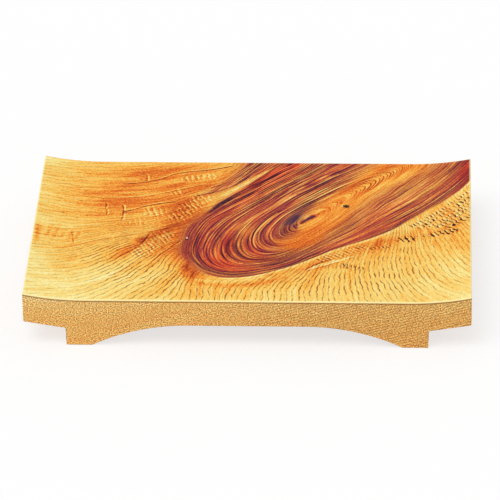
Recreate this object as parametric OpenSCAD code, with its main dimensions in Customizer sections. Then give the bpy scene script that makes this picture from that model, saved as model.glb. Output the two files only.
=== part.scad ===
// Footed serving board: one thick figured plank with a shallow hollow across its top,
// on two foot blocks that are dowelled and glued under its ends. The hollow, the arch and
// the overhangs are cut after the blocks are on, so every cut runs across plank and feet alike.
// X runs along the board, Y from front to back, Z up. The origin is on the table, under the middle.

/* [Plank] */
// Length of the board from end to end
board_w = 300; // [240:1:400]
// Depth of the board from front to back
board_d = 200; // [160:1:260]
// Thickness of the plank, from its joint with the feet to the tips of its ends
plank_t = 26.6; // [22:0.1:40]

/* [Hollow] */
// Depth of the hollow across the top, below the tips of the ends
hollow_depth = 4.4; // [2:0.1:6]
// Radius of the upward sweep at each end of the hollow
hollow_r = 200; // [120:5:300]

/* [Feet] */
// Height of a foot block, from the table to its joint with the plank
foot_h = 12.8; // [10:0.1:18]
// Width of the flat tread that a foot stands on
tread_w = 18.5; // [14:0.5:30]
// Outward lean of a foot's outer side, in degrees
foot_lean = 5.4; // [0:0.1:12]
// How far the plank reaches out past a foot, at the joint
overhang = 28.7; // [15:0.1:40]
// Upward slope of the underside of the overhang, in degrees
overhang_slope = 9.5; // [2:0.5:14]

/* [Arch] */
// How far the arch is cut up into the plank, above the joint with the feet
arch_cut = 2.6; // [1:0.1:5]
// Radius of the haunch that joins the arch to each foot
arch_r = 143; // [100:1:180]

/* [Edges] */
// Width of the eased edge on every outer corner
ease = 0.8; // [0.4:0.1:1.2]
// Height of the ease where the haunch meets the tread
heel_ease = 0.4; // [0.2:0.1:0.8]

/* [Dowels] */
// Diameter of a dowel
dowel_d = 8; // [6:0.5:10]
// Length of dowel that is set in the plank
dowel_up = 10; // [8:0.5:13]
// Wood left in the foot under a dowel's socket
socket_floor = 4.3; // [2:0.1:6]
// Distance from one dowel to the next, front to back
dowel_pitch = 65; // [45:1:72]
// Depth of a glue flute in a dowel
flute_depth = 0.3; // [0.2:0.05:0.5]
// Chamfer on each end of a dowel
dowel_chamfer = 0.8; // [0.4:0.1:1.2]
// Glue film between a dowel and its socket
glue_film = 0.05; // [0.02:0.01:0.1]
// Room for spare glue past each end of a dowel
glue_pocket = 0.5; // [0.3:0.1:1]

/* [Hidden] */
$fn = 96;

// How far a cutter runs past the wood
overrun = 5;
// Number of glue flutes round a dowel
flutes = 12;
// Ends of the board, and its dowels' places from front to back
LEFT = -1;
RIGHT = 1;
FRONT = -1;
MIDDLE = 0;
BACK = 1;

// Heights above the table
tip_z = foot_h + plank_t;
hollow_z = tip_z - hollow_depth;
arch_z = foot_h + arch_cut;
dowel_z = socket_floor + glue_pocket;

// Distances from the middle of the board
end_x = board_w / 2;
foot_top_x = end_x - overhang;
foot_base_x = foot_top_x + foot_h * tan(foot_lean);
tread_x = foot_base_x - tread_w;
dowel_x = foot_base_x - tread_w / 2;
hollow_run = sqrt(hollow_r * hollow_r - pow(hollow_r - hollow_depth, 2));
hollow_flat_x = end_x - hollow_run;
arch_run = sqrt(arch_r * arch_r - pow(arch_r - arch_z, 2));
arch_flat_x = tread_x - arch_run;

// Slopes at the corners, in degrees from level
tip_slope = asin(hollow_run / hollow_r);
heel_slope = asin(arch_run / arch_r);
overhang_end_z = foot_h + overhang * tan(overhang_slope);

// Half the board's depth at the flat of a cut, and past the wood
half_d = board_d / 2;
inner_d = half_d - ease;
outer_d = half_d + overrun;
// Depth of a cut's shoulder where it leaves the wood's front or back
shoulder = ease + overrun;
// A cut's reach into the air, more than the whole height of the board
reach = tip_z + overrun;
// How far a flat that eases a square corner lies under it
corner_depth = ease * sin(45);
// Length of the small flat that eases a corner, more than enough to cross it
corner_len = 2 * shoulder;
// Length of a dowel from end to end
dowel_len = foot_h - dowel_z + dowel_up;

// Section of a cut, front to back: level over the wood, with a shoulder that eases each long edge
module cut_section() {
    polygon([[-outer_d, -shoulder], [-inner_d, 0], [inner_d, 0],
             [outer_d, -shoulder], [outer_d, reach], [-outer_d, reach]]);
}

// Takes away what is above Z 0, over a length along X with the origin at its middle
module flat_cut(length) {
    rotate([90, 0, 90]) linear_extrude(length, center = true) cut_section();
}

// Takes away what is inside a drum of this radius, with its axis along Y
module drum_cut(radius) {
    rotate([90, 0, 0]) rotate_extrude($fn = 256)
        polygon([[0, -outer_d], [radius + shoulder, -outer_d], [radius, -inner_d],
                 [radius, inner_d], [radius + shoulder, outer_d], [0, outer_d]]);
}

// Places a cut so that it faces this many degrees round from straight up, tipped towards +X
module facing(x, z, angle) {
    translate([x, 0, z]) rotate([0, angle, 0]) children();
}

// Turns what is drawn for the right end round to the left one, where that is asked for
module at_end(side) {
    if (side == LEFT) mirror([1, 0, 0]) children();
    else children();
}

// The hollow across the top: flat in the middle, with an upward sweep to each tip
module hollow_cut() {
    facing(0, hollow_z, 0) flat_cut(2 * hollow_flat_x);
    for (x = [-hollow_flat_x, hollow_flat_x]) translate([x, 0, hollow_z + hollow_r]) drum_cut(hollow_r);
}

// The arch between the feet: flat in the middle, with a haunch down to each tread
module arch_cutter() {
    facing(0, arch_z, 180) flat_cut(2 * arch_flat_x);
    for (x = [-arch_flat_x, arch_flat_x]) translate([x, 0, arch_z - arch_r]) drum_cut(arch_r);
}

// The step under one end: below the sloped overhang and outside the leaning side of the foot
module step_cut() {
    intersection() {
        facing(foot_top_x, foot_h, 180 - overhang_slope) flat_cut(board_w);
        facing(foot_top_x, foot_h, 90 - foot_lean) flat_cut(board_w);
    }
}

// A small flat along a corner, at this depth under it
module corner_cut(x, z, angle, depth) {
    facing(x, z, angle) translate([0, 0, -depth]) flat_cut(corner_len);
}

// One end's face, then the eased corners at its tip, its lower edge, and the foot's two sides
module end_cuts() {
    facing(end_x, tip_z / 2, 90) flat_cut(board_w);
    corner_cut(end_x, tip_z, (90 - tip_slope) / 2, corner_depth);
    corner_cut(end_x, overhang_end_z, 135 - overhang_slope / 2, corner_depth);
    corner_cut(foot_base_x, 0, 135 - foot_lean / 2, corner_depth);
    corner_cut(tread_x, 0, 180 + heel_slope / 2, heel_ease);
}

// The glued-up blank after every outer cut, not yet told apart into plank and feet
module shaped_blank() {
    difference() {
        translate([-end_x, -half_d, 0]) cube([board_w, board_d, tip_z]);
        hollow_cut();
        arch_cutter();
        facing(0, 0, 180) flat_cut(board_w);
        for (side = [LEFT, RIGHT]) at_end(side) {
            step_cut();
            end_cuts();
        }
    }
}

// The sockets of one foot's dowels, which run up through the joint into the plank
module dowel_sockets(side) {
    for (row = [FRONT, MIDDLE, BACK])
        translate([side * dowel_x, row * dowel_pitch, socket_floor])
            cylinder(h = dowel_len + 2 * glue_pocket, d = dowel_d + 2 * glue_film);
}

// The plank: all of the shaped blank above the joint
module serving_board() {
    color("#e6b25c") difference() {
        intersection() {
            shaped_blank();
            translate([-end_x - overrun, -outer_d, foot_h]) cube([board_w + 2 * overrun, 2 * outer_d, reach]);
        }
        for (side = [LEFT, RIGHT]) dowel_sockets(side);
    }
}

// One foot: what the shaped blank has below the joint at that end
module foot(side) {
    color("#dba45f") difference() {
        intersection() {
            shaped_blank();
            at_end(side) translate([0, -outer_d, -overrun]) cube([end_x, 2 * outer_d, foot_h + overrun]);
        }
        dowel_sockets(side);
    }
}

// Half a dowel's outline, turned about its axis: a rod with both ends chamfered
module dowel_outline() {
    rim = dowel_d / 2;
    polygon([[0, 0], [rim - dowel_chamfer, 0], [rim, dowel_chamfer], [rim, dowel_len - dowel_chamfer],
             [rim - dowel_chamfer, dowel_len], [0, dowel_len]]);
}

// A dowel standing in its socket, with flutes that let spare glue out
module dowel(side, row) {
    color("#ead2a6") translate([side * dowel_x, row * dowel_pitch, dowel_z]) difference() {
        rotate_extrude() dowel_outline();
        for (turn = [0 : flutes - 1]) rotate([0, 0, turn * 360 / flutes])
            translate([dowel_d / 2, 0, -overrun]) cylinder(h = dowel_len + 2 * overrun, r = flute_depth);
    }
}

serving_board();
foot(LEFT);  // left_foot
foot(RIGHT);  // right_foot
dowel(LEFT, FRONT);  // left_front_dowel
dowel(LEFT, MIDDLE);  // left_middle_dowel
dowel(LEFT, BACK);  // left_back_dowel
dowel(RIGHT, FRONT);  // right_front_dowel
dowel(RIGHT, MIDDLE);  // right_middle_dowel
dowel(RIGHT, BACK);  // right_back_dowel
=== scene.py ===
# %% [markdown]
# # A footed serving board, dressed for its photograph
# The board is one thick plank with a shallow hollow across its top, on two feet that are dowelled
# and glued under its ends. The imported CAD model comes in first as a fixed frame. Everything made
# after it is the same wood, modelled finely enough to carry its grain, and it lies exactly where
# the CAD lies.

# %% Load the frame
import math

import bpy
import numpy as np
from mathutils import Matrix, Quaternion, Vector


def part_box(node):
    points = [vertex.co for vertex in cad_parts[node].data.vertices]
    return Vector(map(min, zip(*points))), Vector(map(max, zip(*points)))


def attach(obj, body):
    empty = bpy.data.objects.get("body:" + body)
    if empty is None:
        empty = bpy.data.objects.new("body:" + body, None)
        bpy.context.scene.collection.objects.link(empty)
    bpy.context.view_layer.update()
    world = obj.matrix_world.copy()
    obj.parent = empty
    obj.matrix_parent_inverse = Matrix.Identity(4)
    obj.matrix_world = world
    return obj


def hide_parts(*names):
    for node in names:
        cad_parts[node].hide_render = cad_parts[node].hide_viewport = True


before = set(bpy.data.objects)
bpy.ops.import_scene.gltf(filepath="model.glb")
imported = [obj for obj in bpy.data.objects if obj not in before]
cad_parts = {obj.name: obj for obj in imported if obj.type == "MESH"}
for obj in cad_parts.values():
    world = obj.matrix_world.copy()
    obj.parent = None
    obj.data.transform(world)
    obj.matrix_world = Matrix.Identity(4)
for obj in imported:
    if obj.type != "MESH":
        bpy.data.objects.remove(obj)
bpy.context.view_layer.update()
MM = 0.001

# %% [markdown]
# ## Two helpers for every material
# A colour is easiest to choose as the hex value that a screen shows, but Blender's shaders work in
# linear light, so one function turns the one into the other. A second one adds a node: it applies
# the node's settings, fills or links its inputs, and hands back the output that the next node
# needs. The kinds of node that are used most get short names.

# %% Colour and node helpers
MATH = "ShaderNodeMath"
VECTOR_MATH = "ShaderNodeVectorMath"
NOISE = "ShaderNodeTexNoise"
RANGE = "ShaderNodeMapRange"
MIX = "ShaderNodeMixRGB"
SMOOTH = {"interpolation_type": "SMOOTHSTEP"}


def linear(hex_colour):
    """A screen colour such as #e6b25c as linear red, green, blue and alpha."""
    parts = [int(hex_colour[i:i + 2], 16) / 255 for i in (1, 3, 5)]
    return [p / 12.92 if p <= 0.04045 else ((p + 0.055) / 1.055) ** 2.4 for p in parts] + [1.0]


def add(tree, kind, inputs=(), out=0, stops=None, **settings):
    """Adds a node and returns one of its outputs. Inputs go by name, or in the order that the node
    has them. Stops are a colour ramp's places and colours."""
    node = tree.nodes.new(kind)
    for name, value in settings.items():
        setattr(node, name, value)
    for name, value in inputs.items() if isinstance(inputs, dict) else enumerate(inputs):
        if isinstance(value, bpy.types.NodeSocket):
            tree.links.new(value, node.inputs[name])
        else:
            node.inputs[name].default_value = value
    if stops:
        ramp = node.color_ramp
        while len(ramp.elements) < len(stops):
            ramp.elements.new(1.0)
        for element, (place, colour) in zip(ramp.elements, stops):
            element.position = place
            element.color = linear(colour)
    return node.outputs[out] if node.outputs else None


def new_finish(name):
    """An empty node material, and its tree."""
    finish = bpy.data.materials.new(name)
    finish.use_nodes = True
    finish.node_tree.nodes.clear()
    return finish, finish.node_tree


# %% [markdown]
# ## The camera
# The photograph was taken from far away with a long lens, a little above the board and a little to
# its right, so the board's sides stay almost parallel. The place, the aim and the small roll were
# worked out from the corners of the board and from its known sizes. A long lens needs a tight field
# of view.

# %% Camera
SENSOR = 36.0
LENS = 325.45
CAMERA_AT = Vector((0.1195, -2.7254, 1.5087))
CAMERA_AIM = Vector((-0.0390, 0.8768, -0.4792))
CAMERA_ROLL = math.radians(-0.72)

camera_data = bpy.data.cameras.new("photo_camera")
camera_data.sensor_width = SENSOR
camera_data.lens = LENS
camera_data.clip_end = 50.0
camera = bpy.data.objects.new("photo_camera", camera_data)
camera.location = CAMERA_AT
level = CAMERA_AIM.to_track_quat("-Z", "Y")
camera.rotation_mode = "QUATERNION"
camera.rotation_quaternion = level @ Quaternion((0, 0, 1), CAMERA_ROLL)
bpy.context.scene.collection.objects.link(camera)
bpy.context.scene.camera = camera
looks_down = math.degrees(math.asin(-CAMERA_AIM.normalized().z))
print("camera looks down by", round(looks_down, 1), "degrees")

# %% [markdown]
# ## A white studio
# The board stands on a plain white floor in soft light. The world is an even light from all round,
# as in a light tent. One wide lamp from the upper left and front makes the top a little brighter
# than the front, which is what lets the eye read the shape. What the camera and reflections see of
# the world is plain white, so the light's strength and the background's colour are set apart. What
# tells them apart is the kind of ray, and the floor will need the same.

# %% World and lamp
def seen_share(tree):
    """1 for what a viewer sees, also off a gloss or through glass, and 0 for all other rays."""
    seen = add(tree, "ShaderNodeLightPath", out="Is Camera Ray")
    for ray in ("Is Glossy Ray", "Is Transmission Ray"):
        other = add(tree, "ShaderNodeLightPath", out=ray)
        seen = add(tree, MATH, [seen, other], operation="MAXIMUM")
    return seen


TENT_LIGHT = 0.62
KEY_LIGHT = 1.35
KEY_SPREAD = math.radians(40)
KEY_FROM = Vector((-0.35, -0.45, 1.0))

bpy.context.scene.view_settings.view_transform = "Standard"
world = bpy.data.worlds.new("light_tent")
world.use_nodes = True
tent = world.node_tree
tent.nodes.clear()
glow = add(tent, "ShaderNodeBackground", {"Color": linear("#ffffff"), "Strength": TENT_LIGHT})
white = add(tent, "ShaderNodeBackground", {"Color": linear("#ffffff"), "Strength": 1.0})
shown = add(tent, "ShaderNodeMixShader", [seen_share(tent), glow, white])
add(tent, "ShaderNodeOutputWorld", {"Surface": shown})
bpy.context.scene.world = world

key_data = bpy.data.lights.new("key_light", "SUN")
key_data.energy = KEY_LIGHT
key_data.angle = KEY_SPREAD
key = bpy.data.objects.new("key_light", key_data)
key.rotation_mode = "QUATERNION"
key.rotation_quaternion = KEY_FROM.to_track_quat("Z", "Y")
bpy.context.scene.collection.objects.link(key)
print("tent light", TENT_LIGHT, "and key light", KEY_LIGHT)

# %% [markdown]
# ## The floor
# A floor that is only painted white would photograph a little grey. Most of what the camera sees of
# this one is plain white, and the rest is lit like any surface, so the board's shadow stays.

# %% Floor
FLOOR_REACH = 6.0
FLOOR_SHARE = 0.7

floor_finish, tree = new_finish("matt_white_floor")
lit = add(tree, "ShaderNodeBsdfDiffuse", {"Color": linear("#fdfdfd")})
plain = add(tree, "ShaderNodeEmission", {"Color": linear("#ffffff"), "Strength": 1.0})
share = add(tree, MATH, [seen_share(tree), FLOOR_SHARE], operation="MULTIPLY")
mixed = add(tree, "ShaderNodeMixShader", [share, lit, plain])
add(tree, "ShaderNodeOutputMaterial", {"Surface": mixed})

floor_mesh = bpy.data.meshes.new("studio_floor")
corners = [(-FLOOR_REACH, -FLOOR_REACH, 0), (FLOOR_REACH, -FLOOR_REACH, 0),
           (FLOOR_REACH, FLOOR_REACH, 0), (-FLOOR_REACH, FLOOR_REACH, 0)]
floor_mesh.from_pydata(corners, [], [(0, 1, 2, 3)])
floor_mesh.materials.append(floor_finish)
floor = bpy.data.objects.new("studio_floor", floor_mesh)
bpy.context.scene.collection.objects.link(floor)
print("floor is", 2 * FLOOR_REACH, "m wide")

# %% [markdown]
# ## The board's section
# Seen from the front, the board is one section that is carried straight through from front to back.
# The hollow is level in the middle and sweeps up to each tip. Below, an arch runs from foot to
# foot. Two functions give the height of the top and of the underside at any X, so every piece
# follows them. The sizes are those of the CAD: the outer ones are read from the frame, and the rest
# are named here.

# %% Section of the board, in millimetres
_, board_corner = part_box("serving_board")
_, foot_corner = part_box("right_foot")
END_X = board_corner.x / MM
HALF_D = board_corner.y / MM
JOINT_Z = foot_corner.z / MM
HOLLOW_Z = 35.0
HOLLOW_R = 200.0
HOLLOW_FLAT_X = 108.28
ARCH_Z = 15.4
ARCH_R = 143.0
ARCH_FLAT_X = 39.46
TREAD_X = 104.01
FOOT_TOP_X = 121.3
FOOT_BASE_X = 122.51
OVERHANG_SLOPE = math.radians(9.5)
ARRIS = 0.8


def top_z(x):
    """Height of the hollowed top."""
    run = np.clip(np.abs(x) - HOLLOW_FLAT_X, 0, None)
    return HOLLOW_Z + HOLLOW_R - np.sqrt(HOLLOW_R ** 2 - run ** 2)


def arch_top_z(x):
    """Height of the arch, as far as the haunch reaches the table."""
    run = np.clip(np.abs(x) - ARCH_FLAT_X, 0, TREAD_X - ARCH_FLAT_X)
    return np.clip(ARCH_Z - ARCH_R + np.sqrt(ARCH_R ** 2 - run ** 2), 0, None)


def under_z(x):
    """Height of the whole underside: arch, treads and overhangs."""
    past = np.abs(x) - FOOT_TOP_X
    overhang = JOINT_Z + past * math.tan(OVERHANG_SLOPE)
    return np.where(past > 0, overhang, arch_top_z(x))


def plank_under_z(x):
    """Height of the plank's own underside, which is level over the feet."""
    return np.maximum(under_z(x), JOINT_Z)


def foot_wall_x(z):
    """Distance of a foot's leaning outer side from the middle."""
    return FOOT_BASE_X - (FOOT_BASE_X - FOOT_TOP_X) * z / JOINT_Z


print("plank is", round(float(top_z(0) - plank_under_z(0)), 1), "mm thick in the middle")

# %% [markdown]
# ## A block of wood as a lattice
# A plank could be made from a cube with modifiers, but its grain needs a fine, even skin to be
# drawn on. So each block is built as the skin of a lattice: stations along X, Y and up its height,
# joined by quads on its six sides. Each point is then put where the section says. The stations sit
# closer together beside the corners, because that is where the sanded arrises turn.

# %% Lattice block
CELL = 1.5
# Where the close stations are, in arris widths from a corner.
TURN = [0.12, 0.32, 0.56, 0.8, 1.0, 1.6]


def stations(start, end, marks=()):
    """Places from start to end, about a cell apart, close at the ends and with one at each mark."""
    turn = [ARRIS * t for t in TURN]
    stops = sorted({start, end, *marks})
    places = {start, end}
    places.update(start + t for t in turn)
    places.update(end - t for t in turn)
    for low, high in zip(stops[:-1], stops[1:]):
        count = max(1, round((high - low) / CELL))
        inner = [low + (high - low) * i / count for i in range(count + 1)]
        places.update(p for p in inner if start + 2 * ARRIS < p < end - 2 * ARRIS)
    return np.array(sorted(places))


def lattice_skin(nx, ny, nz):
    """Which lattice points are on the skin, and the quads that join them, all facing out."""
    number = np.full((nx, ny, nz), -1)
    on_skin = np.ones((nx, ny, nz), bool)
    on_skin[1:-1, 1:-1, 1:-1] = False
    number[on_skin] = np.arange(on_skin.sum())
    quads = []
    for axis in range(3):
        for end in (0, -1):
            side = np.take(number, end, axis=axis)
            quad = np.stack([side[:-1, :-1], side[1:, :-1], side[1:, 1:], side[:-1, 1:]], -1)
            faces_out = (end == -1) == (axis != 1)
            quads.append((quad if faces_out else quad[..., ::-1]).reshape(-1, 4))
    return on_skin, np.concatenate(quads)


# %% [markdown]
# ## Sanded arrises
# A maker takes every sharp corner off with a few strokes of sandpaper. Here each point is compared
# with the core of the wood, which is the section shrunk by the arris's radius: a point that is
# further from the core than that radius is drawn in to it, and corners come out round. The core is
# that of the whole board, so plank and foot stay flush where they meet, and no groove opens along
# their joint.

# %% Round the corners
def round_corners(x, y, z, wall_x, floor_z):
    """Draws points in to the rounded form of the whole board."""
    core_x = np.clip(x, -wall_x + ARRIS, wall_x - ARRIS)
    core_y = np.clip(y, -HALF_D + ARRIS, HALF_D - ARRIS)
    core_z = np.clip(z, floor_z + ARRIS, top_z(core_x) - ARRIS)
    away = np.stack([x - core_x, y - core_y, z - core_z], -1)
    length = np.linalg.norm(away, axis=-1)
    pull = np.minimum(1.0, ARRIS / np.maximum(length, 1e-9))
    return np.stack([core_x, core_y, core_z], -1) + away * pull[:, None]


def block_points(xs, ys, shares, low, high, wall_x, skin):
    """The block's skin points: low and high give the height at an X, and shares run from 0 to 1."""
    x, y, share = (a[skin] for a in np.meshgrid(xs, ys, shares, indexing="ij"))
    z = low(x) + (high(x) - low(x)) * share
    return x, y, z, wall_x(z)


# %% [markdown]
# ## The grain as a field
# A plank's figure is a stack of growth rings that the saw has cut open. Paint would never line up
# from one face to the next, so the figure is worked out as a field in space. Every point of the
# wood gets a ring number, and the same numbers carry on round the edges and down into the feet.
#
# The rings of this plank have no simple formula. So some of them are drawn, each as a ring
# number and some places that it passes, and a thin-plate spline, which bends as a thin sheet of
# steel would, fills in all the rings between them. A little slack lets the sheet miss a place by a
# hair, so that a guide place that is a little off leaves no kink.

# %% Spline through guide rings
def bend(squared):
    """The thin sheet's shape round one point."""
    return squared * np.log(squared + 1e-12)


def spline_through(guides, slack):
    """The weights of a thin-plate spline through the guide rings, and the places they pass."""
    places = np.array([place for _, line in guides for place in line], float)
    rings = np.array([ring for ring, line in guides for _ in line], float)
    count = len(places)
    squared = ((places[:, None] - places[None]) ** 2).sum(-1)
    system = np.zeros((count + 3, count + 3))
    system[:count, :count] = bend(squared) + slack * np.eye(count)
    system[:count, count] = system[count, :count] = 1
    system[:count, count + 1:] = places
    system[count + 1:, :count] = places.T
    weights = np.linalg.solve(system, np.concatenate([rings, np.zeros(3)]))
    print("spline runs through", count, "places")
    return places, weights


def ring_at(spline, x, y):
    """The spline's ring number at points on the top, and how fast it changes per millimetre."""
    places, weights = spline
    ring = weights[-3] + weights[-2] * x + weights[-1] * y
    slope_x = np.full(x.shape, weights[-2])
    slope_y = np.full(x.shape, weights[-1])
    for (place_x, place_y), weight in zip(places, weights):
        dx, dy = x - place_x, y - place_y
        squared = dx * dx + dy * dy + 1e-12
        log = np.log(squared)
        ring = ring + weight * squared * log
        slope_x = slope_x + 2 * weight * (log + 1) * dx
        slope_y = slope_y + 2 * weight * (log + 1) * dy
    return ring, np.hypot(slope_x, slope_y)


def ease(t):
    """A smooth step from 0 to 1."""
    t = np.clip(t, 0, 1)
    return t * t * (3 - 2 * t)


# %% [markdown]
# The red heart is a long tear-drop of rings round an eye. They are ovals below the eye, and stretch
# into pointed arches above it. Here 0 is the eye and 1 is about where the heart ends.

# %% Guide rings of the heart, in millimetres from the middle
HEART_GUIDES = [
    (0.0, [(35, 14), (38, 18), (42, 23)]),
    (0.10, [(24.5, 12), (21.5, 2), (22.5, -6), (29, -8.5), (38, -1), (46, 10), (56, 26), (65, 42),
            (70, 54), (60, 49), (48, 37), (36, 26)]),
    (0.15, [(77, 68), (84, 71), (83, 64)]),
    (0.19, [(20, -19.5), (15.5, -16.5), (13, -11), (12.3, -5), (14.5, 3), (16.7, 8.7), (20, 16.7),
            (28, 27), (36.7, 38), (46.7, 49.3), (60, 63.3), (73, 77), (82, 84), (91, 86.5),
            (96, 85), (94, 77), (88, 67), (80, 54), (72, 41), (61, 25), (49, 9), (40, -3),
            (30, -14)]),
    (0.215, [(93, 93), (102, 95), (101, 86)]),
    (0.32, [(20, -32), (9.3, -31), (4, -24.5), (1, -15), (1, -9), (3.3, 0.7), (7.3, 9.3),
            (10.7, 16), (18, 26.7), (28, 40.7), (38.7, 52.7), (50, 65.3), (63.3, 78.7), (76, 90),
            (88, 99), (117, 98), (111, 87), (100, 70), (89, 53), (78, 37), (66, 20), (54, 4),
            (44, -9), (33, -22)]),
    (0.45, [(17, -41), (6.7, -45), (0, -46), (-8, -42), (-12, -35), (-14.8, -27), (-15.3, -20),
            (-14.5, -13), (-10.3, 0), (-4, 12.7), (-0.7, 20), (7, 30), (15, 39), (21.3, 48),
            (30, 59.3), (40, 68.5), (50, 80), (63.3, 92), (109, 80), (98, 64), (87, 47), (83, 41.5),
            (72, 24), (59, 1.5), (50, -9), (40, -21), (28, -33)]),
    (0.50, [(-19.5, -17), (-19.7, -25), (-17.5, -37), (-12, -43.8), (-6.7, -48), (0, -49.8),
            (9, -48.3)]),
    (0.60, [(8.9, 42.4), (12.7, 50.7), (22, 64.7), (30, 73), (42, 86), (54, 97), (0, 33.3),
            (-6, 25), (-12, 17), (-16.7, 10), (-21, 2), (-24.5, -8), (-27.5, -18), (-28.5, -28),
            (-27.5, -37), (-24, -46), (-19, -52.5), (-12, -56), (-3, -56), (8, -53), (19, -48.5),
            (31, -40), (42, -28.5), (52, -17), (65, -4.5), (76, 9.5), (86, 24), (99.5, 42),
            (112, 60), (125.5, 80), (136, 96)]),
    (0.70, [(24, 70), (12.7, 57.5), (2, 45.5), (-3.3, 38.5), (-10, 30), (-16.7, 21), (-25, 9.5),
            (-28, 2.5), (-31.5, -7), (-34.3, -19), (-35.7, -29), (-35.3, -37), (-33.3, -43.5),
            (-30.7, -50), (-26.7, -54.7), (-20, -59.3), (-13.3, -61), (-4.7, -60.7), (3.3, -57.8),
            (13.3, -54), (23.3, -50), (33.3, -43.5), (46, -30), (57, -19), (68, -7), (80, 6),
            (95, 24.5), (103, 33), (113, 45), (125, 61), (135, 76), (145, 92)]),
    (0.80, [(16.7, 69.5), (7.3, 60), (-3.3, 46), (-10, 40), (-22, 27.5), (-30, 19), (-34, 11),
            (-38.5, -8), (-41, -28), (-38, -45), (-29.5, -58), (-13, -64.5), (6, -60), (26, -51),
            (50, -30), (71, -10), (83, 3.5), (100, 20.5), (119, 42), (137, 66), (148, 82)]),
    (0.90, [(-30, 24.7), (-16.7, 40.7), (-10, 48), (3.3, 63.5), (16.7, 77.5), (30, 91)]),
    (1.0, [(-44, 10), (-37, 18), (-30, 28), (-23.3, 41), (-15.7, 51.5), (-6.7, 63), (2, 77),
           (12.7, 92), (-48, -20), (-48.5, -31), (-46, -41), (-39.5, -49.5), (-32, -60),
           (-24, -66.5), (-12, -68), (0, -66.3), (10, -62), (26, -53), (40, -42), (54.5, -29),
           (75.4, -15.4), (90, -3), (105, 8.5), (113, 19), (125, 33), (134, 45), (142, 55),
           (150, 69)]),
    (1.25, [(-28, 52), (-18, 66), (-8, 80), (2, 96), (-62, -25), (-54, -54), (-30, -80), (0, -79),
            (30, -64), (60, -42), (98, -12), (128, 18), (150, 42)]),
]
HEART_SLACK = 400.0
HEART_SPLINE = spline_through(HEART_GUIDES, HEART_SLACK)
HEART_RISE_PER_MM = 0.045
EYE = (38.0, 18.0)
HEART_LEAN = math.radians(50)


def past_eye(x, y):
    """Distance past the eye towards the arches' tips, in millimetres."""
    return (x - EYE[0]) * math.cos(HEART_LEAN) + (y - EYE[1]) * math.sin(HEART_LEAN)


# %% [markdown]
# The pale sapwood flows round the heart like water round a stone. Here one ring is one year's
# growth.

# %% Guide rings of the sapwood, in millimetres from the middle
SAP_GUIDES = [
    (0, [(-150, 92), (-110, 93), (-70, 97)]),
    (5, [(-150, 70), (-110, 68), (-75, 73), (-42, 86), (-18, 98)]),
    (10, [(-150, 45), (-110, 43), (-75, 46), (-48, 56), (-24, 68)]),
    (15, [(-150, 20), (-110, 17), (-75, 24), (-50, 36), (-34, 48)]),
    (20, [(-150, -5), (-115, -2), (-80, 7), (-58, 17), (-42, 30)]),
    (25, [(-150, -31), (-130, -29), (-105, -15), (-72, -5), (-50, 10)]),
    (30, [(-150, -50), (-125, -42), (-104, -29), (-82, -14), (-56, -2)]),
    (34.5, [(-150, -68), (-118, -60), (-97, -44), (-78, -24), (-56, -10)]),
    (38.5, [(-150, -88), (-132, -83), (-106, -73), (-86, -54), (-70, -32), (-54, -16)]),
    (42.5, [(-112, -97), (-90, -78), (-72, -56), (-60, -34), (-51, -24)]),
    (46, [(-86, -98), (-70, -78), (-57, -58), (-50, -36)]),
    (50.5, [(-62, -98), (-51, -78), (-43, -56)]),
    (55, [(-36, -98), (-36, -82), (-34, -66)]),
    (60.5, [(-14, -98), (-12, -84), (-2, -68)]),
    (64.5, [(2, -98), (5, -80), (16, -62)]),
    (68.5, [(18, -98), (21, -76), (34, -54)]),
    (72.5, [(35, -98), (37, -74), (47, -41)]),
    (77, [(53, -98), (53, -70), (56, -46), (63, -25)]),
    (82, [(74, -98), (70, -70), (71, -44), (77, -16)]),
    (87, [(96, -98), (88, -72), (86, -40), (91, -6)]),
    (92, [(120, -98), (108, -78), (101, -50), (101, -24), (102, 5)]),
    (97, [(148, -94), (132, -80), (119, -52), (113, -22), (109, 14)]),
    (102, [(150, -70), (138, -48), (129, -20), (120, 8), (116, 24)]),
    (107, [(150, -32), (143, -10), (133, 14), (125, 33)]),
    (112, [(150, 8), (143, 28), (135, 46)]),
    (116, [(150, 38), (143, 58)]),
]
SAP_SPLINE = spline_through(SAP_GUIDES, 0.0)
# Rings lie flatter inside the plank, so depth counts more than width.
SAP_RISE_PER_MM = 0.64

# %% [markdown]
# ## Stains, streaks and curls
# Resin and old knots have stained this plank in clouds and streaks. Each is drawn with one of
# two brushes: a patch, which is a soft leaning oval, and a stroke, which is a soft line through
# a few points. They add to a tone, which runs from 0, the palest wood, to 1, the darkest. One more
# function adds up what a list of such marks leaves at a point.

# %% Brushes
FADE = 1.5


def patch(x, y, at, size, lean=0.0):
    """A soft oval: 1 in its middle, and nothing beyond about one and a half times its size."""
    c, s = math.cos(math.radians(lean)), math.sin(math.radians(lean))
    u = ((x - at[0]) * c + (y - at[1]) * s) / size[0]
    v = ((y - at[1]) * c - (x - at[0]) * s) / size[1]
    return np.exp(-FADE * (u * u + v * v))


def rounded(points):
    """The same line with its corners cut twice, so that it runs in smooth bends."""
    for _ in range(2 if len(points) > 2 else 0):
        cut = [points[0]]
        for (ax, ay), (bx, by) in zip(points[:-1], points[1:]):
            cut.append((0.75 * ax + 0.25 * bx, 0.75 * ay + 0.25 * by))
            cut.append((0.25 * ax + 0.75 * bx, 0.25 * ay + 0.75 * by))
        points = cut + [points[-1]]
    return points


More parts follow.
